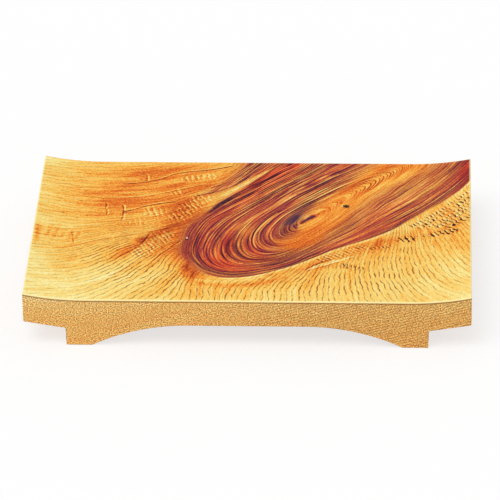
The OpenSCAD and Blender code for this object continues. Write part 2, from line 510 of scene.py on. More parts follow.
def to_line(x, y, points):
    """Distance to a line through points, above 0 on the left of its run, below 0 on the right."""
    nearest = np.full(x.shape, 1e9)
    side = np.zeros(x.shape)
    for (ax, ay), (bx, by) in zip(points[:-1], points[1:]):
        dx, dy = bx - ax, by - ay
        t = np.clip(((x - ax) * dx + (y - ay) * dy) / (dx * dx + dy * dy), 0, 1)
        away = np.hypot(x - ax - t * dx, y - ay - t * dy)
        side = np.where(away < nearest, np.sign((y - ay) * dx - (x - ax) * dy), side)
        nearest = np.minimum(nearest, away)
    return side * nearest


def stroke(x, y, width, points):
    """A soft line: 1 along its points, and nothing beyond one and a half widths on each side."""
    return np.exp(-FADE * (to_line(x, y, rounded(points)) / width) ** 2)


def total(marks, brush, x, y):
    """What a list of marks adds up to. Each mark starts with its strength."""
    return sum(strength * brush(x, y, *rest) for strength, *rest in marks)


# %% [markdown]
# The sapwood's patches: what each adds to the tone, its middle, its size and its lean, if it has
# one.

# %% Patches of the sapwood
SAP_TONE = 0.41
SAP_PATCHES = [
    # The first seven patches make the wood paler at the left end, along the front edge and at the
    # front right corner.
    (-0.30, (-112, -78), (70, 34), 15),
    (-0.28, (-150, -52), (20, 32)),
    (-0.24, (-150, 94), (30, 12)),
    (-0.12, (-148, 8), (12, 10)),
    (-0.14, (-148, -98), (22, 8)),
    (-0.12, (0, -100), (170, 6)),
    (-0.12, (146, -96), (20, 10)),
    (-0.06, (-42, -59), (8, 14)),
    (-0.05, (-68, -8), (8, 10)),
    (-0.06, (-130, 8), (20, 20)),
    (-0.13, (140, -50), (14, 22)),
    (-0.12, (-76, 50), (18, 9), 10),
    (-0.14, (-150, 40), (14, 60)),
    (-0.06, (-130, 40), (30, 60)),
    (-0.20, (118, -78), (60, 34), 10),
    (-0.08, (30, -90), (50, 12)),
    (0.17, (-76, 58), (58, 42), 20),
    (0.19, (-94, 34), (32, 16), 10),
    (0.16, (-82, 82), (16, 9), 20),
    (0.14, (-52, 88), (38, 8), 15),
    (0.14, (-60, 60), (26, 6), 30),
    (0.26, (-52, 24), (14, 38), -10),
    (0.31, (-65, -6), (20, 4.5), 46),
    (0.16, (-74, -17), (6, 6)),
    (0.24, (-86, -36), (5, 16), -40),
    (0.21, (-60, -32), (14, 22), 20),
    (0.10, (-84, -24), (34, 8), 40),
    (0.24, (-41, -58), (7, 16), 10),
    (0.10, (-45, 38), (14, 22), -10),
    (0.40, (-146.5, -13), (1.8, 14)),
    (0.12, (-139, -10), (2, 12)),
    (0.12, (-134, -9), (2, 10)),
    (0.14, (-123, -16), (2, 8)),
    (0.24, (46, -49), (22, 8), 35),
    (0.08, (6, -76), (30, 8), 5),
    (0.18, (82, -22), (34, 11), 35),
    (0.06, (112, 0), (14, 5), 40),
    (0.04, (134, 24), (24, 22), 40),
    (0.08, (104, -10), (60, 5), 20),
    (0.16, (-34, 66), (14, 7), 45),
    (0.16, (-21, 80), (9, 18), -15),
    (0.12, (-104, 52), (22, 7), 8),
    (0.10, (-86, 8), (30, 11)),
    (0.08, (-104, -78), (22, 9)),
    (0.08, (-74, -52), (18, 14)),
    (0.05, (-46, -64), (14, 14)),
    (0.10, (14, -62), (18, 6), 15),
]
print("patches of the sapwood:", len(SAP_PATCHES))

# %% [markdown]
# The strokes are pale lights and dark stains: what each adds, its width and the points it runs
# through. Another list of patches says where the ring lines are stronger or fainter than elsewhere.

# %% Strokes and ring lines of the sapwood
SAP_STROKES = [
    (0.26, 1.2, [(-41, -47), (-43, -60), (-43.5, -68)]),
    (0.16, 1.0, [(-37, -60), (-38, -72)]),
    (-0.16, 1.4, [(-36, -71), (-20, -74), (-4, -72), (10, -66)]),
    (0.14, 3.5, [(-32, -77), (-10, -80), (10, -75), (24, -67)]),
    (-0.30, 1.6, [(-22, 50), (-14, 59), (-2, 73), (8, 87)]),
    (-0.26, 1.4, [(-38, 54), (-30, 58.5), (-23, 63)]),
    (-0.14, 2.0, [(-56, 44), (-46, 50), (-38, 54)]),
    (-0.10, 3.0, [(-150, 70), (-110, 70), (-84, 74)]),
    (-0.26, 1.6, [(40, -56), (48, -50), (58, -44.5), (66, -39.5)]),
    (-0.12, 4.0, [(98, -8), (110, 6), (122, 22)]),
    (0.10, 4.0, [(-105, 41), (-76, 44), (-50, 56), (-30, 66)]),
    (0.10, 4.0, [(-91, 62), (-63, 74), (-32, 86)]),
]
LINE_PATCHES = [
    (0.95, (-74, -62), (36, 46), 40),
    (0.80, (-92, -34), (28, 14), 35),
    (0.70, (40, -80), (90, 26), 6),
    (0.45, (104, -50), (36, 40)),
    (-0.25, (-130, -84), (30, 22)),
    (-0.30, (132, 30), (22, 34), -30),
    (-0.25, (140, -88), (30, 16)),
]
print("strokes of the sapwood:", len(SAP_STROKES))

# %% [markdown]
# Where the fibres once waved, the plane has cut through short curls that cross the rings, each dark
# on one side and bright on the other. They stand in rows. The mesh carries which tick of its row a
# point is nearest, as a number that grows along the row, so the ticks stay sharp between two
# points.

# %% Rows of ticks
# How dark, how bright, the row's start and end, the ticks' length, slant and spacing.
TICK_ROWS = [
    (3.0, 0.7, (100, -12.5), (112.5, -10.9), 7.4, -0.40, 3.9),
    (1.0, 0.5, (112, -8), (121, -7.5), 4.6, -0.30, 3.4),
    (2.8, 0.8, (121, -6), (141, -2.6), 6.4, -0.35, 3.4),
    (2.8, 0.6, (132, 2), (151, 15.5), 4.6, -0.30, 4.2),
    (1.6, 0.4, (80, -26), (96, -21.5), 4.2, -0.30, 2.9),
    (1.6, 0.5, (62, -49), (77, -56), 7.0, -0.45, 3.0),
    (1.0, 0.9, (46, -44), (79, -22), 8.0, -0.35, 3.1),
    (1.3, 1.3, (108, 5), (150, 52), 4.6, 0.31, 3.2),
    (1.7, 1.3, (113, 3), (150, 44), 4.6, 0.31, 3.6),
    (1.4, 1.3, (119, 2), (151, 37), 4.6, 0.31, 3.1),
    (1.7, 1.3, (126, 3), (151, 30), 4.6, 0.31, 3.5),
    (1.4, 1.2, (134, 6), (151, 23), 4.6, 0.31, 3.2),
    (0.7, 0.9, (-52, 73), (-27, 80), 8.0, 0.10, 3.9),
    (0.4, 0.7, (-59, 53), (-50, 55), 10.0, -0.10, 3.4),
    (0.6, 1.3, (-55, 13), (-33, 51), 13.0, 0.75, 4.3),
    (0.6, 1.0, (-76, 27), (-61, 24), 15.0, -0.45, 4.1),
    (0.4, 0.8, (-85, 12), (-72, 9), 9.0, -0.40, 3.8),
    (0.7, 1.3, (-78, -39), (-56, -5), 13.0, 0.55, 3.7),
    (0.4, 0.4, (-142, -8), (-118, -13), 20.0, 0.0, 5.0),
]
print("rows of ticks:", len(TICK_ROWS))


def ticks_at(x, y):
    """How dark and how bright the ticks are at a point, and its place along the nearest row."""
    dark_here, bright_here, place = np.zeros(x.shape), np.zeros(x.shape), np.zeros(x.shape)
    shown = np.zeros(x.shape)
    for dark, bright, start, end, length, slant, pitch in TICK_ROWS:
        run_x, run_y = end[0] - start[0], end[1] - start[1]
        run = math.hypot(run_x, run_y)
        along = ((x - start[0]) * run_x + (y - start[1]) * run_y) / run
        across = ((y - start[1]) * run_x - (x - start[0]) * run_y) / run
        share = ease(1.5 - 2 * np.abs(across) / length)
        share = share * ease(along / pitch + 0.5) * ease((run - along) / pitch + 0.5)
        closer = share > shown
        shown = np.where(closer, share, shown)
        place = np.where(closer, (along - slant * across) / pitch, place)
        dark_here = np.where(closer, dark * share, dark_here)
        bright_here = np.where(closer, bright * share, bright_here)
    return dark_here, bright_here, place


# %% [markdown]
# The heart has its own marks: the golden core and its close rings, a blue-purple blot beside the
# eye, crimson at the back and in the bowl, and darker and paler stretches of the red wood. The
# core's tone is apart from that of the red wood round it. The slash is a crimson crack across the
# eye.

# %% Marks of the heart
CORE_PATCHES = [
    (1.2, (34, -18), (22, 11), 42),
    (1.3, (47, 10), (28, 16), 50),
    (1.3, (62, 42), (32, 17), 50),
    (1.3, (86, 78), (34, 18), 50),
    (1.3, (106, 100), (30, 18), 50),
    (0.7, (-4, -2), (6, 12), 10),
    (0.35, (20, 42), (22, 3), 50),
    (0.5, (18, -16), (7, 9), 50),
    (0.3, (116, 68), (40, 12), 52),
]
CORE_TONE = 0.66
CORE_TONE_PATCHES = [
    (-0.21, (86, 68), (60, 26), 50),
    (-0.06, (50, 14), (20, 16), 50),
    (0.06, (26, -22), (24, 12), 40),
    (0.05, (64, 10), (40, 8), 50),
    (-0.08, (72, 86), (18, 12), 50),
]
CORE_RING_PATCHES = [
    (1.3, (19, -5), (15, 7), 68),
    (0.7, (28, -2), (6, 6), 50),
    (0.5, (54, 36), (12, 8), 50),
    (1.3, (86, 74), (34, 17), 50),
]
BLOT_PATCHES = [
    (1.5, (27, 14.5), (13, 4.4), 61),
    (0.45, (34, 33), (14, 4), 53),
    (1.3, (40.4, 19), (4.2, 2.1), 52),
    (1.2, (36, 14), (5, 1.7), 52),
    (0.9, (29.4, 5), (2.0, 3.6), 10),
]
CRIMSON_PATCHES = [
    (1.2, (149, 84), (9, 28), -6),
    (0.50, (-12, -34), (34, 30)),
    (1.1, (20, 90), (22, 10), 50),
    (0.8, (-2, 66), (24, 4), 52),
    (0.8, (4, 62), (44, 14), 50),
    (0.9, (-15, -22), (4, 18), -3),
    (0.6, (8, -42), (24, 6), 10),
    (0.3, (90, 6), (40, 5), 42),
    (0.7, (-40, -20), (5, 34), -6),
    (0.5, (-16, -52), (24, 10), -20),
    (0.4, (-20, 22), (8, 26), -50),
    (0.35, (126, 80), (22, 16), 50),
]
HEART_TONE = 0.475
HEART_PATCHES = [
    (-0.14, (112, 54), (70, 14), 50),
    (-0.15, (60, -14), (38, 10), 40),
    (-0.09, (104, 36), (60, 24), 45),
    (0.22, (150, 84), (10, 30), -8),
    (-0.08, (-4, -50), (50, 24)),
    (-0.07, (4, 62), (50, 16), 50),
    (-0.05, (22, 92), (26, 8)),
    (-0.04, (126, 80), (22, 16), 50),
    (-0.07, (-6, 12), (10, 26), -25),
    (0.06, (-14, 46), (30, 12), 50),
    (-0.06, (70, 86), (18, 12), 50),
    (0.05, (-44, -16), (4, 34), -4),
    (-0.06, (-34, -20), (10, 34)),
    (-0.03, (-8, -56), (24, 8)),
    (-0.04, (-14, -24), (10, 16), -20),
    (-0.10, (8, 56), (46, 4), 50),
    (0.08, (126, 56), (44, 6), 52),
    (-0.12, (-6, -58), (36, 10), 5),
    (-0.04, (20, 84), (50, 14), 50),
]
HEART_STROKES = [
    (0.35, 2.2, [(52, 81), (58, 87)]),
    (0.70, 1.9, [(38.5, 17), (40, 18.5), (41.5, 20.3)]),
    (0.60, 1.2, [(33, 9), (34.5, 12), (37.5, 15.5)]),
    (0.60, 1.2, [(44.8, 23), (45.4, 24)]),
    (0.22, 1.0, [(47.5, 27), (50, 28.5)]),
    (0.60, 1.2, [(30, 3), (28.6, 5), (29.5, 8)]),
    (0.25, 0.9, [(59.5, 44), (60.5, 39)]),
    (-0.45, 0.9, [(35.5, 16), (37.5, 20.5)]),
    (-0.35, 0.9, [(31.5, 5.5), (33, 7)]),
    (-0.30, 1.2, [(61.2, 37.5), (61.6, 35.5)]),
    (-0.25, 1.4, [(43.5, 27), (47, 30)]),
]
SLASH = (2.2, [(37, 15.5), (40, 18.5), (43, 21.5)])
print("patches of the heart:", len(HEART_PATCHES), "and strokes:", len(HEART_STROKES))


# %% [markdown]
# The heart's own outline is drawn too. A tongue of sapwood runs up into it at the upper
# left. Whether a point is inside is told by how often the outline crosses the level line to its
# right: an odd count is inside.

# %% Outline of the heart
HEART_EDGE = [
    (-8, 200), (-8, 106), (-11, 92), (-16, 80), (-21, 70), (-28, 61), (-38, 50), (-29, 53),
    (-19, 59.5), (-10, 69), (-3, 76.5), (4, 84.5), (13, 95), (8, 86), (2.5, 78), (-2.5, 71),
    (-6, 65.5), (-10, 60), (-15.7, 53.2), (-21, 45), (-25.2, 40), (-28.5, 34), (-32, 26), (-37, 17),
    (-42, 10), (-45.5, 2), (-47, -8), (-48, -20), (-48, -30), (-46.5, -39), (-42, -46),
    (-38.5, -51), (-36, -56), (-31, -61.5), (-25, -66), (-18, -68), (-10, -68.2), (0, -66.3),
    (10, -62), (17, -58), (26, -53), (35, -46), (40, -42), (48, -35), (54.5, -29), (61, -24.5),
    (67.7, -20), (75.4, -15),
    (82.3, -10.5), (90, -4), (95.5, 1), (100.5, 6.5), (104.5, 12), (108.5, 17), (112, 21),
    (115, 24.7), (120, 30.2), (125, 35), (130, 39.8), (133.8, 44.6), (139, 50.8), (142.3, 54.6),
    (147.7, 64), (151, 70), (160, 84), (200, 140), (200, 200), (-8, 200),
]
print("the heart's outline runs through", len(HEART_EDGE), "places")


def inside_distance(x, y, outline):
    """Distance to a closed outline, above 0 inside it and below 0 outside."""
    outline = rounded(outline)
    inside = np.zeros(x.shape, bool)
    for (ax, ay), (bx, by) in zip(outline[:-1], outline[1:]):
        if ay != by:
            inside ^= ((ay > y) != (by > y)) & (x < ax + (y - ay) * (bx - ax) / (by - ay))
    return np.where(inside, 1, -1) * np.abs(to_line(x, y, outline))


# %% [markdown]
# Some lines are thinner than a cell of the mesh. For these, the mesh carries the distance to the
# nearest line and which side of it a point is on, because a distance stays exact between two
# points. The shader then draws a dark line where it is zero, and a bright one close beside it. The
# sapwood's creases are drawn as lines. Those of the heart follow one of its rings as far as a patch
# reaches.

# %% Creases
# How dark the line is, how bright its neighbour on the left is, and the places it runs through.
SAP_CREASES = [
    (0.7, 0.4, [(-91, 66), (-78, 68), (-67, 73), (-59, 80)]),
    (1.4, 0.5, [(-59, 80), (-55, 82.5), (-46, 85.3), (-29, 88.8), (-18, 94)]),
    (0.6, 0.2, [(-132, 58), (-118, 60)]),
    (0.6, 0.4, [(-105, 44), (-79, 46), (-64, 52), (-52, 58), (-36, 66)]),
    (1.3, 0.5, [(-90, 24), (-80, 30), (-70, 36), (-55, 40)]),
    (1.4, 0.4, [(-41, 49), (-35, 51.5), (-28.5, 54.5)]),
    (0.8, 0.3, [(-28.5, 54.5), (-20, 60), (-12, 68)]),
    (0.3, 0.0, [(-150, 41), (-130, 44)]),
    (0.3, 0.0, [(-150, 18), (-120, 24)]),
    (0.3, 0.0, [(-148, 71), (-118, 74)]),
    (0.6, 0.3, [(-150, -33), (-130, -31), (-117, -23), (-105, -16), (-86, -10), (-70, -4),
                (-57, 2)]),
    (0.5, 1.0, [(38.5, -58.5), (44, -54.5), (56, -47.5), (70, -38)]),
    (0.7, 0.3, [(-49, -17), (-54, -25), (-60, -34), (-66, -46)]),
    (0.7, 0.3, [(-70, -6), (-75, -22), (-83, -34), (-92, -43)]),
    (0.8, 1.2, [(56, -41.5), (50, -45), (43, -50), (38, -56.5)]),
    (0.9, 0.4, [(-31, 61), (-24, 66)]),
    (0.6, 0.6, [(-102.5, 36), (-102.8, 31)]),
    (0.4, 0.5, [(-102, 27), (-101.5, 22)]),
    (0.8, 0.9, [(-90.8, 33), (-90, 24), (-90.4, 14)]),
    (0.4, 0.9, [(-77, 79), (-76.5, 72)]),
    (0.5, 0.2, [(-123, -9), (-121.5, -22)]),
]
# Ring, how dark, how bright, the bright one's side (1 is outside), and the patch that it shows in.
HEART_CREASES = [
    (0.19, 1.3, 1.4, 1, (38, 38), (48, 16), 50),
    (0.32, 1.2, 1.0, -1, (8, 0), (38, 14), 65),
    (0.30, 0.8, 0.8, -1, (36, 52), (26, 12), 50),
    (0.385, 0.8, 0.7, 1, (40, 62), (40, 10), 48),
    (0.45, 1.0, 0.8, 1, (48, 78), (34, 10), 48),
    (0.45, 0.5, 0.2, -1, (-8, -34), (28, 18), -50),
    (0.50, 0.4, 0.5, -1, (-8, -42), (30, 14), -45),
    (0.56, 0.7, 0.5, 1, (-2, 26), (34, 12), 55),
    (0.65, 0.8, 0.5, 1, (8, 54), (44, 10), 50),
    (0.70, 0.9, 0.5, -1, (-28, -20), (60, 12), 88),
    (0.70, 0.7, 0.5, 1, (-10, -58), (34, 10)),
    (0.70, 0.9, 0.4, -1, (92, 20), (30, 10), 48),
    (0.775, 0.8, 0.6, 1, (-6, 44), (48, 9), 48),
    (0.87, 1.0, 1.0, 1, (-4, 56), (44, 8), 50),
    (0.93, 0.7, 0.7, -1, (-24, 34), (20, 7), 58),
    (0.975, 0.9, 0.7, -1, (-14, 50), (26, 7), 55),
    (0.525, 1.0, 0.3, 1, (102, 58), (44, 8), 54),
    (0.42, 0.5, 0.2, 1, (100, 70), (30, 8), 57),
    (0.64, 0.7, 0.3, 1, (92, 28), (40, 8), 52),
    (0.85, 0.6, 0.4, 1, (116, 38), (44, 8), 48),
]
print("creases:", len(SAP_CREASES) + len(HEART_CREASES))
CREASE_REACH = 3.0
# Distances further than this look all the same, so they are cut off there.
FAR_MM = 9


def creases_at(x, y, heart, slope):
    """Signed distance to the nearest crease, and how dark and how bright that crease is here."""
    lines = [(to_line(x, y, rounded(points)), dark, bright) for dark, bright, points in SAP_CREASES]
    for ring, dark, bright, side, *where in HEART_CREASES:
        share = np.clip(2 * patch(x, y, *where) - 0.2, 0, 1)
        away = np.where(share > 0, side * (heart - ring) / slope, 1e6)
        lines.append((away, dark * share, bright * share))
    nearest = np.full(x.shape, 1e9)
    dark_here, bright_here = np.zeros(x.shape), np.zeros(x.shape)
    for away, dark, bright in lines:
        closer = np.abs(away) < np.abs(nearest)
        nearest = np.where(closer, away, nearest)
        dark_here = np.where(closer, dark, dark_here)
        bright_here = np.where(closer, bright, bright_here)
    near = ease(2 - np.abs(nearest) / CREASE_REACH)
    return np.clip(nearest, -FAR_MM, FAR_MM), dark_here * near, bright_here * near


# %% [markdown]
# The heart gets thinner as it goes down into the wood. Its outline is crisp, but blurred over some
# millimetres in four regions: on the left, on the right, at the top and at the upper left. Each
# region grows in over the width that its distance is divided by.

# %% How far inside the heart
THIN_PER_MM = 3.4
CRISP_MM = 0.6
LEFT_SOFT_MM = 5.0
RIGHT_SOFT_MM = 0.8
TOP_SOFT_MM = 1.0
UPPER_SOFT_MM = 5.0


def heart_rim(x, y, depth):
    """Distance into the heart, in millimetres and in blurs, and the shares of three regions."""
    inward = inside_distance(x, y, HEART_EDGE) - THIN_PER_MM * depth
    left = ease((-24 - x) / 14) * ease((40 - y) / 20)
    right = ease((x - 92) / 20) * ease((150 - x) / 20)
    top = ease((y - 10) / 20) * ease((30 - x) / 20)
    upper = ease((0.35 * y - 36 - x) / 8) * ease((y - 40) / 10)
    soft = CRISP_MM + LEFT_SOFT_MM * left + RIGHT_SOFT_MM * right + TOP_SOFT_MM * top
    return inward, inward / (soft + UPPER_SOFT_MM * upper), left, right, top


# %% [markdown]
# ## Grain on every point
# All fields come together here. The skin's cells are about 1.5 mm wide, fine enough for these
# fields to run straight from point to point, and the shader adds what is finer. Depth is measured
# from the hollowed top, and the marks fade as they go down into the wood.

# %% Work out the grain at given points
MARK_DEPTH = 9.0
GLOW = 0.27
GLOW_MM = 8.0
EDGE_MM = 1.6
HIGHLIGHT_MM = 0.8
LEAST_SLOPE = 0.002
CLOSE_RINGS = 90
CLOSER_PAST_EYE = 20
CORE_CALM = 0.65
LINE_SHARE = 0.55


def grain_at(x, y, z):
    """The wood's fields at points in millimetres, by attribute name."""
    depth = np.clip(top_z(x) - z, 0, None)
    heart, heart_slope = ring_at(HEART_SPLINE, x, y)
    heart_slope = np.maximum(heart_slope, LEAST_SLOPE)
    sap, sap_slope = ring_at(SAP_SPLINE, x, y)
    fade = np.exp(-(depth / MARK_DEPTH) ** 2)
    inward, rim, left, right, top = heart_rim(x, y, depth)
    in_sap = 1 - ease(0.5 + rim / 2)
    core = np.clip(total(CORE_PATCHES, patch, x, y), 0, 1) * fade
    glow = GLOW * left * np.exp(-(np.clip(-inward, 0, None) / GLOW_MM) ** 2)
    tone_sap = total(SAP_PATCHES, patch, x, y) + total(SAP_STROKES, stroke, x, y)
    tone_red = HEART_TONE + total(HEART_PATCHES, patch, x, y)
    tone_core = CORE_TONE + total(CORE_TONE_PATCHES, patch, x, y)
    tone_heart = tone_red * (1 - core) + tone_core * core
    tone_heart = tone_heart + total(HEART_STROKES, stroke, x, y) * fade
    crimson = total(CRIMSON_PATCHES, patch, x, y) + stroke(x, y, *SLASH)
    crease, crease_dark, crease_bright = creases_at(x, y, heart, heart_slope)
    tick_dark, tick_bright, tick_at = ticks_at(x, y)
    from_rim = np.minimum(HALF_D - np.abs(y), END_X - np.abs(x))
    busy = 0.85 * ease((y - 30) / 30) * ease((60 - x) / 30)
    calm = 0.30 * ease((x - 40) / 50) + 0.30 * patch(x, y, (-12, -26), (16, 18))
    return {
        "heart_ring": heart + depth * HEART_RISE_PER_MM,
        "heart_slope": heart_slope,
        "tight_ring": heart * (CLOSE_RINGS + CLOSER_PAST_EYE * ease(past_eye(x, y) / 40)),
        "sap_ring": sap + depth * SAP_RISE_PER_MM,
        "sap_slope": np.clip(sap_slope, 0.1, 1.0),
        "rim": np.clip(rim, -FAR_MM, FAR_MM),
        "crisp": ease((x + 26) / 14) * (1 - right) * (1 - top) * fade,
        "core": core,
        "lively": 1 - CORE_CALM * core + (1 - core) * (busy - calm),
        "core_ring": np.clip(total(CORE_RING_PATCHES, patch, x, y), 0, 1) * fade,
        "tone_sap": SAP_TONE + glow + tone_sap * fade,
        "tone_heart": tone_heart,
        "crease": crease,
        "crease_dark": crease_dark * fade,
        "crease_bright": crease_bright * fade,
        "line": np.clip(LINE_SHARE + total(LINE_PATCHES, patch, x, y), 0, 1.4),
        "edge_line": ease((x + 40) / 90),
        "tick_dark": tick_dark * fade * in_sap,
        "tick_bright": tick_bright * fade * in_sap,
        "tick_at": tick_at,
        "blot": np.clip(total(BLOT_PATCHES, patch, x, y), 0, 1) * fade,
        "crimson": np.clip(crimson, 0, 1.2) * fade * (1 - in_sap),
        "edge_grain": ease(depth / EDGE_MM),
        # A painted highlight along the arrises of the top.
        "arris_highlight": ease(1.5 - from_rim / HIGHLIGHT_MM) * ease(1.5 - depth / ARRIS),
        "depth": np.clip(depth, 0, FAR_MM),
    }


# %% [markdown]
# ## Plank and feet as meshes
# The plank takes its heights from the section. Each foot starts a little way in from the thin end
# of its haunch, where the real glue line feathers out to nothing, and ends at its leaning wall.

# %% Make a block of wood
FEATHER_X = 67.2


def make_block(name, xs, shares, low, high, wall_x, lean):
    """A closed block with rounded corners and the grain's fields on its points."""
    ys = stations(-HALF_D, HALF_D)
    skin, quads = lattice_skin(len(xs), len(ys), len(shares))
    x, y, z, wall = block_points(xs, ys, shares, low, high, wall_x, skin)
    if lean:
        x = x - np.sign(x) * lean(x, z)
    points = round_corners(x, y, z, wall, under_z(x))
    mesh = bpy.data.meshes.new(name)
    mesh.from_pydata((points * MM).tolist(), [], quads.tolist())
    mesh.update()
    for field, values in grain_at(*points.T).items():
        attribute = mesh.attributes.new(field, "FLOAT", "POINT")
        attribute.data.foreach_set("value", values.astype(np.float32))
    for polygon in mesh.polygons:
        polygon.use_smooth = True
    mesh.set_sharp_from_angle(angle=math.radians(40))
    block = bpy.data.objects.new(name, mesh)
    bpy.context.scene.collection.objects.link(block)
    print(name, len(mesh.polygons), "quads")
    return block


def shares_over(height):
    """Stations up a block's height, as shares of it."""
    return stations(0.0, height) / height


plank_xs = stations(-END_X, END_X, (-FOOT_TOP_X, -HOLLOW_FLAT_X, HOLLOW_FLAT_X, FOOT_TOP_X))
plank = make_block("figured_plank", plank_xs, shares_over(float(top_z(0) - ARCH_Z)),
                   plank_under_z, top_z, lambda z: np.full(z.shape, END_X), None)

# %% [markdown]
# The feet lean: their outer wall moves in as it rises. Points between the tread and the wall move
# in by their share of that lean, and the haunch stays where it is.

# %% Feet
def foot_lean(x, z):
    """How far a point of a foot moves in at its height."""
    share = np.clip((np.abs(x) - TREAD_X) / (FOOT_BASE_X - TREAD_X), 0, 1)
    return share * (FOOT_BASE_X - FOOT_TOP_X) * z / JOINT_Z


def joint_z(x):
    """Height of a foot's top, which is its joint with the plank."""
    return np.full(x.shape, JOINT_Z)


foot_xs = stations(FEATHER_X, FOOT_BASE_X, (TREAD_X,))
right_foot = make_block("right_foot_block", foot_xs, shares_over(JOINT_Z),
                        arch_top_z, joint_z, foot_wall_x, foot_lean)
left_foot = make_block("left_foot_block", -foot_xs[::-1], shares_over(JOINT_Z),
                       arch_top_z, joint_z, foot_wall_x, foot_lean)

# %% [markdown]
# ## Planed cedar: the tone of the wood
# The wood is a red-hearted conifer such as Japanese cedar, planed and wiped with a clear matt
# finish. It gives the eye warm, deep colours with almost no shine. The shader works with a tone, as
# the brushes did. It adds up bands, lines, curls and fine fibre, all in millimetres of real wood,
# and then the tone that the mesh carries.

# %% Read the fields in the shader
plank_finish, tree = new_finish("planed_cedar_plank")
spot = add(tree, "ShaderNodeTexCoord", out="Object")
spot = add(tree, VECTOR_MATH, {0: spot, "Scale": 1 / MM}, operation="SCALE")
spot_xyz = add(tree, "ShaderNodeSeparateXYZ", [spot]).node
field = {name: add(tree, "ShaderNodeAttribute", out="Fac", attribute_name=name)
         for name in grain_at(*np.zeros((3, 1)))}
print("fields that the shader reads:", ", ".join(field))

# %% [markdown]
# Noise that follows the rings needs one trick: the ring number is one axis of the noise, run
# through quickly, and the place on the board is the other two, run through slowly. Neighbouring
# points of one ring then look alike, and the next ring looks different.

# %% Noise along the rings
# Each kind of band: its ring field, bands per ring, how fast it changes along, its detail and its
# roughness.
BANDS = {
    "broad": ("heart_ring", 9.0, 0.006, 2.0, 0.5),
    "narrow": ("heart_ring", 24.0, 0.009, 3.0, 0.6),
    "fine": ("heart_ring", 70.0, 0.035, 2.0, 0.6),
    "brown": ("heart_ring", 13.0, 0.011, 1.0, 0.5),
    "lively": ("heart_ring", 14.0, 0.010, 1.0, 0.5),
    "sap_broad": ("sap_ring", 0.6, 0.012, 2.0, 0.5),
    "sap_fine": ("sap_ring", 3.0, 0.050, 2.0, 0.6),
}
band = {}
for name, (ring, per_ring, along, detail, roughness) in BANDS.items():
    ring_axis = add(tree, MATH, [field[ring], per_ring], operation="MULTIPLY")
    x_axis = add(tree, MATH, [spot_xyz.outputs["X"], along], operation="MULTIPLY")
    y_axis = add(tree, MATH, [spot_xyz.outputs["Y"], along], operation="MULTIPLY")
    place = add(tree, "ShaderNodeCombineXYZ", {"X": ring_axis, "Y": x_axis, "Z": y_axis})
    noise = add(tree, NOISE,
                {"Vector": place, "Scale": 1.0, "Detail": detail, "Roughness": roughness})
    band[name] = add(tree, MATH, [noise, 0.5], operation="SUBTRACT")
print("kinds of band:", len(band))

# %% [markdown]
# The heart's tone is the sum of broad bands, narrow bands and fine lines, each with its own
# strength.

# %% Broad tone of the heart
HEART_BANDS = {"broad": 0.34, "narrow": 0.74, "fine": 2.2}
tone_heart = 0.0
for name, strength in HEART_BANDS.items():
    tone_heart = add(tree, MATH, [band[name], strength, tone_heart], operation="MULTIPLY_ADD")

# %% [markdown]
# Late wood draws a thin dark line at each ring, and here and there a bright one runs beside it. The
# part of a ring since the last one, over how fast the rings go by, is a distance in millimetres, so
# the lines stay thin where the rings are far apart. A noise along the ring makes each line strong
# in one stretch and faint in the next. All this is calmer in the golden core, on the right and in
# the bowl, and livelier at the upper left.

# %% Ring lines of the heart
HEART_LINES = 33.0
LINE_SHIFT = 1.1
BRIGHT_AT_MM = 1.1
# A line has faded out at the first distance from its middle, and is full at the second.
DARK_LINE_MM = (0.75, 0.15)
BRIGHT_LINE_MM = (0.6, 0.1)
DARK_LINE_TONE = 0.44
BRIGHT_LINE_TONE = -0.40
shifted = add(tree, MATH, [field["heart_ring"], HEART_LINES], operation="MULTIPLY")
shifted = add(tree, MATH, [band["narrow"], LINE_SHIFT, shifted], operation="MULTIPLY_ADD")
since = add(tree, MATH, [shifted], operation="FRACT")
since = add(tree, MATH, [since, 0.5], operation="SUBTRACT")
lines_per_mm = add(tree, MATH, [field["heart_slope"], HEART_LINES], operation="MULTIPLY")
line_mm = add(tree, MATH, [since, lines_per_mm], operation="DIVIDE")
from_dark = add(tree, MATH, [line_mm], operation="ABSOLUTE")
dark_line = add(tree, RANGE, [from_dark, *DARK_LINE_MM], **SMOOTH)
from_bright = add(tree, MATH, [line_mm, BRIGHT_AT_MM], operation="SUBTRACT")
from_bright = add(tree, MATH, [from_bright], operation="ABSOLUTE")
bright_line = add(tree, RANGE, [from_bright, *BRIGHT_LINE_MM], **SMOOTH)
strong = add(tree, RANGE, [band["lively"], -0.12, 0.16, 0.15, 1.0])
faint = add(tree, RANGE, [band["lively"], -0.04, -0.2, 0.1, 1.0])
dark_line = add(tree, MATH, [dark_line, strong], operation="MULTIPLY")
bright_line = add(tree, MATH, [bright_line, faint], operation="MULTIPLY")
tone_heart = add(tree, MATH, [dark_line, DARK_LINE_TONE, tone_heart], operation="MULTIPLY_ADD")
tone_heart = add(tree, MATH, [bright_line, BRIGHT_LINE_TONE, tone_heart], operation="MULTIPLY_ADD")
tone_heart = add(tree, MATH, [tone_heart, field["lively"]], operation="MULTIPLY")
within = add(tree, RANGE, [field["rim"], -0.6, 1.2, 0.3])
tone_heart = add(tree, MATH, [tone_heart, within], operation="MULTIPLY")

# %% [markdown]
# Round the eye and at the arches' tips the rings are closer, so they have a number of their own on
# the mesh. Where they would run together in the picture, they fade out.

